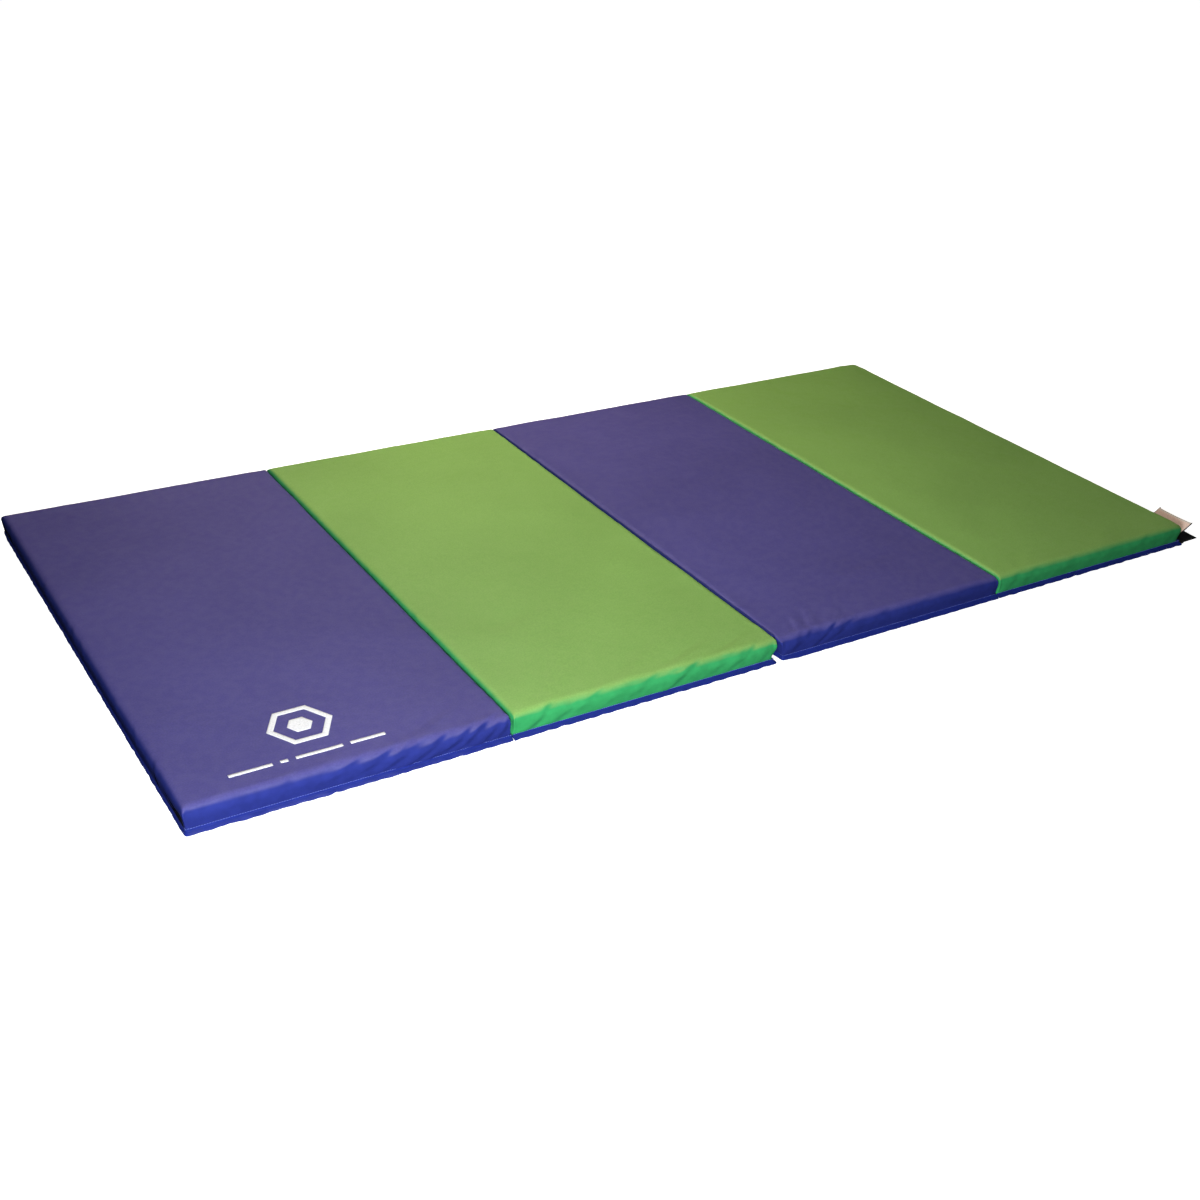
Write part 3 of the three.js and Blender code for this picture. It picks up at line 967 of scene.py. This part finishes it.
def stitch_row(name, path, up, material, pitch=STITCH_PITCH, length=STITCH_LENGTH):
    """Short threads laid end to end along a path, each a flattened capsule."""
    path = np.array(path, float)
    distance = distances_along(path)
    middles = np.arange(pitch, distance[-1] - pitch / 2, pitch)
    sections = [(-0.5, 0.25), (-0.34, 0.85), (0.34, 0.85), (0.5, 0.25)]
    sides = 6
    points, faces = [], []
    for middle in middles:
        ends = [
            np.array([np.interp(middle + k, distance, path[:, axis]) for axis in range(3)])
            for k in (-0.5, 0.5)
        ]
        centre = (ends[0] + ends[1]) / 2
        forward = (ends[1] - ends[0]) / np.linalg.norm(ends[1] - ends[0])
        across = np.cross(np.array(up, float), forward)
        across = across / np.linalg.norm(across)
        above = np.cross(forward, across)
        first = len(points)
        for along, thick in sections:
            for side in range(sides):
                angle = 2 * math.pi * side / sides
                points.append(
                    centre
                    + forward * along * length
                    + across * math.cos(angle) * thick * STITCH_WIDTH / 2
                    + above * math.sin(angle) * thick * STITCH_WIDTH / 2
                )
        faces += tube_faces(len(sections), sides, first)
    row = make_object(name, points, faces, material)
    recalculate_normals(row)
    return row


# ---- fabric hinges ----

HINGE_END_GAP = 22.0
STRIP_THICKNESS = 0.42
WALL_GAP = 0.4  # from a wall to the strip on it
HINGE_STEP = 12.0


def make_hinge_strip(number):
    """One strip of tape down one wall, across at the hinge line and up the next wall."""
    left, right = PANELS[number], PANELS[number + 1]
    at_top = left["east"]["hinge"] == "high"
    line_x = EDGES_X[number + 1]
    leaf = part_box(f"hinge_{number + 1}{number + 2}_left_leaf")
    low, high = leaf[0].z / MM, leaf[1].z / MM
    heights = np.linspace(low, high, 6) if at_top else np.linspace(high, low, 6)
    turn_z = TOP_Z - 0.6 if at_top else 0.5
    section = []
    for z in heights:
        section.append((-(wall_inset(left["east"], z) - WALL_GAP), z))
    last_x, last_z = section[-1]
    for share in (0.35, 0.7):
        section.append((last_x * (1 - share), last_z + (turn_z - last_z) * math.sqrt(share)))
    section.append((0.0, turn_z))
    section += [(-x, z) for x, z in reversed(section[:-1])]
    half = HALF_WIDTH - HINGE_END_GAP
    rows = np.linspace(-half, half, round(2 * half / HINGE_STEP) + 1)
    points = [(line_x + x, y, z) for y in rows for x, z in section]
    faces = grid_faces(len(rows), len(section))
    name = f"hinge_{number + 1}{number + 2}_strip"
    strip = make_object(name, points, faces, HINGE_TAPE)
    subdivide(strip)
    thicken(strip, STRIP_THICKNESS, offset=0.0)
    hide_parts(name.replace("strip", "left_leaf"), name.replace("strip", "right_leaf"))
    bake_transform(strip)
    width = 2 * sum(math.dist(section[k], section[k + 1]) for k in range(len(section) // 2))


# ---- fasteners ----

FLAP_LAYER = 0.9
HEM_END_SIZE = (6.5, 4.6, 3.2)
HEM_END_OUT = 2.5  # from the hinge line, so that it meets both the flap and the sewn edge
HEM_END_IN, HEM_END_Z = 0.5, 3.8  # from the mat's side inwards, and up from the floor
HOOK_SLACK = 4.0  # how far the tab's slack lets the tape slide outwards
HOOK_WIDTH = 50.8
HOOK_MARGIN = 1.0
TIP_REACH = 4.5  # how far the backing's outer corners stand out from under the tape
HOOK_THICKNESS = 1.4
TAB_REACH = 64.0
SELVAGE_WIDTH = 4.0
HOOK_PITCH = 1.5


def rounded_sheet(name, material, low, high, place, bulge, step=4.0):
    """A flat sheet from low to high (x, y), with place(x, y) giving its points in space."""
    xs = np.linspace(low[0], high[0], max(2, round((high[0] - low[0]) / step) + 1))
    ys = np.linspace(low[1], high[1], max(2, round((high[1] - low[1]) / step) + 1))
    points = []
    for y in ys:
        for x in xs:
            across = min(abs(x - high[0]), 4) / 4
            corner = min(min(y - low[1], high[1] - y), 4) / 4
            pull = bulge * (1 - across) * (1 - corner)
            points.append(place(x - pull, y))
    return make_object(name, points, grid_faces(len(ys), len(xs)), material)


def make_fastener(corner):
    """The flap sewn under the mat's edge, the tab on it and the hook tape on the tab."""
    flap_low, flap_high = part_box(f"{corner}_fastener_flap")
    hem_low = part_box(f"{corner}_fastener_hem")[0]
    joint = [j for j in frame["joints"] if j["name"] == f"{corner}_flap_lift"][0]
    hinge_x = joint["pos_m"][0] / MM
    middle_z = (flap_low.z + flap_high.z) / 2 / MM
    seed = corner + "flap"

    def lie(x, y):
        free = smoothstep(hinge_x + 8, hinge_x + 60, x)
        ripple = 0.35 + 0.5 * waves(np.array(y), (64, 41), seed)
        return (x, y, middle_z + free * max(0.0, float(ripple)))

    low = (hem_low.x / MM, flap_low.y / MM)
    high = (flap_high.x / MM, flap_high.y / MM)
    flap = rounded_sheet(f"{corner}_flap_sheet", BLACK_VINYL, low, high, lie, 2.0)
    subdivide(flap)
    thicken(flap, FLAP_LAYER, offset=0.0)
    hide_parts(f"{corner}_fastener_flap", f"{corner}_fastener_hem")
    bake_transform(flap)
    make_tab(corner)
    make_hem_end(corner, hinge_x)


def make_hem_end(corner, hinge_x):
    """The folded end of the flap's hem, which peeps out at the mat's corner."""
    side = -1 if corner == "near" else 1
    middle = np.array([hinge_x + HEM_END_OUT, side * (HALF_WIDTH - HEM_END_IN), HEM_END_Z])
    dice = random.Random(corner + "hem")
    rows, columns = 7, 12
    points = []
    for row in range(rows):
        tilt = math.pi * (row + 0.5) / rows
        for column in range(columns):
            turn = 2 * math.pi * column / columns
            fold = 1 + 0.22 * math.sin(2 * turn + 1.5 * row) + dice.uniform(-0.05, 0.05)
            out = math.sin(tilt) * fold
            place = np.array([out * math.cos(turn), out * math.sin(turn), math.cos(tilt)])
            points.append(middle + HEM_END_SIZE * place)
    end = make_object(f"{corner}_hem_end", points, tube_faces(rows, columns), BLACK_VINYL)
    recalculate_normals(end)
    subdivide(end)
    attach(end, "panel_4")


def tab_frame(corner):
    """The middle of the hook tape's face, and its directions along and out of that face."""
    mount = [m for m in frame["record"]["mounts"] if m["name"] == f"hook_face_{corner}"][0]
    normal = np.array(mount["axis"])
    forward = np.array([normal[2], 0, -normal[0]])
    face = np.array(mount["pos_m"]) / MM + forward * HOOK_SLACK
    return face, forward, normal


def make_tab(corner):
    """The tab's black backing and its hook tape with two plain woven edges."""
    face, forward, normal = tab_frame(corner)
    hook_low, hook_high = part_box(f"{corner}_fastener_hook_tape")
    back_low, back_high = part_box(f"{corner}_fastener_tab_backing")
    y0, y1 = hook_low.y / MM, hook_high.y / MM
    half = HOOK_WIDTH / 2
    curl = 1.0 if corner == "near" else 0.25

    def bent(x, y, rise):
        """A point x out from the tape's middle, on the tab's gently curled sheet."""
        away = (x + half) / HOOK_WIDTH
        side = (y - y0) / (y1 - y0) - 0.5
        curve = curl * (1.6 * side**2 * 4 * max(away, 0) + 4.5 * max(away, 0) ** 2)
        point = face + forward * x + normal * (rise + curve)
        return (point[0], y, point[2])

    root = -half - (TAB_REACH - HOOK_WIDTH - HOOK_MARGIN)
    backing = rounded_sheet(
        f"{corner}_tab_backing_sheet",
        BLACK_VINYL,
        (root, back_low.y / MM),
        (half + HOOK_MARGIN, back_high.y / MM),
        lambda x, y: bent(x, y, -HOOK_THICKNESS - 0.7),
        -TIP_REACH,
    )
    subdivide(backing)
    thicken(backing, FLAP_LAYER * 0.8, offset=0.0)
    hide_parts(f"{corner}_fastener_tab_backing")
    hooks = make_hooks(corner, y0, y1, half, bent)
    pieces = [backing, hooks]
    for label, x0 in (("inner", -half), ("outer", half - SELVAGE_WIDTH)):
        x1 = x0 + SELVAGE_WIDTH
        edge = rounded_sheet(
            f"{corner}_hook_{label}_selvage",
            SELVAGE,
            (x0, y0),
            (x1, y1),
            lambda x, y: bent(x, y, -0.75),
            0.0,
            step=1.5,
        )
        thicken(edge, 0.7, offset=0.0)
        pieces.append(edge)
        line = [bent((x0 + x1) / 2, y, -0.3) for y in np.linspace(y0 + 2, y1 - 2, 24)]
        thread = stitch_row(
            f"{corner}_hook_{label}_stitches", line, normal, THREAD_GREY, pitch=3.4, length=2.4
        )
        pieces.append(thread)
    for piece in pieces:
        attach(piece, f"{corner}_flap")


def make_hooks(corner, y0, y1, half, bent):
    """The tape's field of hooks: a sheet whose fine rows of bumps stand up from it."""
    x0, x1 = -half + SELVAGE_WIDTH, half - SELVAGE_WIDTH
    columns = 2 * round((x1 - x0) / HOOK_PITCH)
    rows = 2 * round((y1 - y0) / HOOK_PITCH)
    dice = random.Random(corner + "hooks")
    points = []
    for row in range(rows + 1):
        y = y0 + (y1 - y0) * row / rows
        for column in range(columns + 1):
            x = x0 + (x1 - x0) * column / columns
            hook = (row % 2) * (column % 2)
            rise = -0.75 + hook * dice.uniform(0.55, 0.8)
            points.append(bent(x + hook * dice.uniform(-0.2, 0.2), y, rise))
    faces = grid_faces(rows + 1, columns + 1)
    hooks = make_object(f"{corner}_hook_field", points, faces, HOOK_TAPE)
    thicken(hooks, 0.6)
    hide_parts(f"{corner}_fastener_hook_tape")
    return hooks


def make_loop_strip(corner):
    """Loop tape low on the left end's wall: a soft pile with sewn edges."""
    low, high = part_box(f"{corner}_loop_strip")
    panel = PANELS[0]
    y0, y1 = low.y / MM, high.y / MM
    z0, z1 = low.z / MM, high.z / MM
    rows, columns = 14, 72
    dice = random.Random(corner + "loops")
    points = []
    for row in range(rows + 1):
        z = z0 + (z1 - z0) * row / rows
        for column in range(columns + 1):
            y = y0 + (y1 - y0) * column / columns
            edge = min(row, rows - row, column, columns - column)
            rise = 0.35 + (0.75 if edge > 1 else 0.0) * dice.uniform(0.75, 1.0)
            inset = wall_inset(panel["west"], z) - 0.3
            points.append((panel["x0"] + inset - rise, y, z))
    strip = make_object(f"{corner}_loop_tape", points, grid_faces(rows + 1, columns + 1), LOOP_TAPE)
    subdivide(strip)
    thicken(strip, 0.3)
    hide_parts(f"{corner}_loop_strip")
    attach(strip, "panel_1")


# ---- print ----

PRINT_CENTRE = (262.0, 148.0)  # from panel 1's near-left corner
PRINT_RADIUS = 62.0
PRINT_RING = 13.0
PRINT_HEART = 24.0
PRINT_BARS = ((98, 176), (190, 204), (218, 304), (318, 384))
PRINT_BAR_Y = (52.0, 60.0)
PRINT_RISE = 0.12  # above the vinyl
PRINT_STEP = 3.0
PRINT_HEART_STEPS = 8  # along each side of the hexagon's heart


def hexagon(radius, count):
    """Points evenly round a hexagon's outline."""
    turns = [math.pi / 3 * k for k in range(7)]
    corners = [np.array([math.cos(turn), math.sin(turn)]) * radius for turn in turns]
    points = []
    for k in range(6):
        for step in range(count):
            points.append(corners[k] + (corners[k + 1] - corners[k]) * step / count)
    return points


def make_print(cover):
    """A plain hexagon and bars printed on panel 1, laid on the cover's surface."""
    panel = PANELS[0]
    surface = BVHTree.FromObject(cover, bpy.context.evaluated_depsgraph_get())
    origin = np.array([panel["x0"], -HALF_WIDTH])
    centre = origin + np.array(PRINT_CENTRE)
    points, faces = [], []

    def add_grid(flat_points, rows, columns, wrap):
        first = len(points)
        points.extend(flat_points)
        for face in grid_faces(rows, columns, wrap_columns=wrap):
            faces.append(tuple(first + k for k in face))

    count = round(PRINT_RADIUS / PRINT_STEP)
    radii = np.linspace(PRINT_RADIUS, PRINT_RADIUS - PRINT_RING, 6)
    ring = [centre + point for radius in radii for point in hexagon(radius, count)]
    add_grid(ring, len(radii), 6 * count, True)
    radii = np.linspace(PRINT_HEART, 0.4, 9)
    heart = [centre + point for radius in radii for point in hexagon(radius, PRINT_HEART_STEPS)]
    add_grid(heart, len(radii), 6 * PRINT_HEART_STEPS, True)
    low, high = PRINT_BAR_Y
    for start, end in PRINT_BARS:
        xs = np.linspace(start, end, max(3, round((end - start) / PRINT_STEP)))
        ys = np.linspace(low, high, 4)
        bar = [origin + np.array([x, y]) for y in ys for x in xs]
        add_grid(bar, len(ys), len(xs), False)
    placed = []
    for x, y in points:
        hit = surface.ray_cast(Vector((x * MM, y * MM, 1.0)), Vector((0, 0, -1)))[0]
        placed.append((x, y, hit.z / MM + PRINT_RISE))
    print_piece = make_object("panel_1_print", placed, faces, PRINT_WHITE)
    thicken(print_piece, PRINT_RISE * 0.5, offset=0.0)
    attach(print_piece, "panel_1")


# ---- studio ----

CAMERA_PLACE = (-1.8002, -2.6116, 1.563)
CAMERA_AZIMUTH, CAMERA_ELEVATION, CAMERA_ROLL = -33.58, 28.68, 3.62
CAMERA_LENS, SENSOR_WIDTH = 45.795, 36
SKY_LIGHT = (0.20, 0.10)  # of the studio's walls and ceiling: at the horizon, and overhead
# The lamps: name, place and aim in metres, size, watts, colour, and whether it is mirrored.
LAMPS = [
    ("key_light", (-0.7, -1.4, 1.6), (-0.4, -0.15, 0), 0.35, 10, (1.0, 0.99, 0.97), True),
    ("front_light", (-1.6, -2.3, 0.8), (-0.65, -0.6, 0), 0.6, 86, (0.9, 0.96, 1.04), False),
    ("back_light", (-0.3, 1.5, 1.8), (-0.1, 0.2, 0), 1.2, 14, (1.0, 0.84, 0.66), False),
    ("low_back_light", (0.15, 1.2, 1.3), (0.1, 0.2, 0), 0.8, 11, (1.0, 0.86, 0.7), False),
    ("top_light", (0.0, 0.1, 1.3), (0.0, 0.1, 0), 0.5, 3, (1.0, 0.97, 0.9), False),
    ("back_wall_light", (-0.2, 3.0, 0.35), (0.0, 0.6, 0), 1.0, 40, (1.0, 0.94, 0.86), False),
    ("right_end_light", (3.1, 0.2, 0.3), (1.2, 0.0, 0), 0.8, 14, (1.0, 0.97, 0.93), False),
]
FLOOR_HALF, FLOOR_Z = 40000.0, -0.2
BACKDROP_RADIUS = 38000.0


def add_camera():
    azimuth = math.radians(CAMERA_AZIMUTH)
    elevation = math.radians(CAMERA_ELEVATION)
    roll = math.radians(CAMERA_ROLL)
    ahead = math.cos(elevation)
    forward = Vector((-math.sin(azimuth) * ahead, math.cos(azimuth) * ahead, -math.sin(elevation)))
    level = Vector((math.cos(azimuth), math.sin(azimuth), 0))
    upright = level.cross(forward)
    right = level * math.cos(roll) + upright * math.sin(roll)
    up = upright * math.cos(roll) - level * math.sin(roll)
    data = bpy.data.cameras.new("camera")
    data.lens = CAMERA_LENS
    data.sensor_width = SENSOR_WIDTH
    camera = bpy.data.objects.new("camera", data)
    turn = Matrix((right, up, -forward)).transposed()
    camera.matrix_world = Matrix.Translation(CAMERA_PLACE) @ turn.to_4x4()
    bpy.context.scene.collection.objects.link(camera)
    bpy.context.scene.camera = camera


def add_lamp(name, place, aim, size, watts, colour, mirrored):
    """A round lamp. One that isn't mirrored leaves no highlight."""
    data = bpy.data.lights.new(name, "AREA")
    data.shape = "DISK"
    data.size = size
    data.energy = watts
    data.color = colour
    lamp = bpy.data.objects.new(name, data)
    lamp.visible_glossy = mirrored
    direction = Vector(aim) - Vector(place)
    turn = direction.to_track_quat("-Z", "Y").to_matrix().to_4x4()
    lamp.matrix_world = Matrix.Translation(place) @ turn
    bpy.context.scene.collection.objects.link(lamp)


def add_world():
    """Dim, even studio walls and ceiling."""
    world = bpy.data.worlds.new("studio")
    world.use_nodes = True
    tree = world.node_tree
    place = tree.nodes.new("ShaderNodeTexCoord").outputs["Generated"]
    sky = remap(tree, height(tree, place), 0.0, 1.0, *SKY_LIGHT)
    tree.links.new(sky, tree.nodes["Background"].inputs["Strength"])
    bpy.context.scene.world = world


def make_staged(name, points, faces):
    """Part of the studio that shows pale, and throws no light or shade on the mat."""
    piece = make_object(name, points, faces, STUDIO_PALE)
    piece.visible_diffuse = False
    piece.visible_glossy = False
    piece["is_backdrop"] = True
    return piece


def add_backdrop():
    """A pale wall all round, far off, which meets the floor."""
    corners = 48
    turns = [2 * math.pi * k / corners for k in range(corners)]
    points = [
        (BACKDROP_RADIUS * math.cos(turn), BACKDROP_RADIUS * math.sin(turn), z)
        for z in (-1.0, BACKDROP_RADIUS)
        for turn in turns
    ]
    backdrop = make_staged("studio_backdrop", points, grid_faces(2, corners, wrap_columns=True))
    backdrop.visible_shadow = False


def add_floor():
    corners = ((-1, -1), (1, -1), (1, 1), (-1, 1))
    points = [(x * FLOOR_HALF, y * FLOOR_HALF, FLOOR_Z) for x, y in corners]
    make_staged("studio_floor", points, [(0, 1, 2, 3)])


def build():
    bpy.context.scene.view_settings.view_transform = "Standard"
    add_camera()
    add_world()
    add_floor()
    add_backdrop()
    for lamp in LAMPS:
        add_lamp(*lamp)
    for panel in PANELS:
        cover = make_top_cover(panel)
        if panel["name"] == "panel_1":
            make_print(cover)
        make_slab(panel)
        make_base_cover(panel)
        make_sewn_edge(panel)
    for number in range(3):
        make_hinge_strip(number)
    for corner in ("near", "far"):
        make_fastener(corner)
        make_loop_strip(corner)


build()

[[list(corner) for corner in box] for box in (cad_box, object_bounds())]
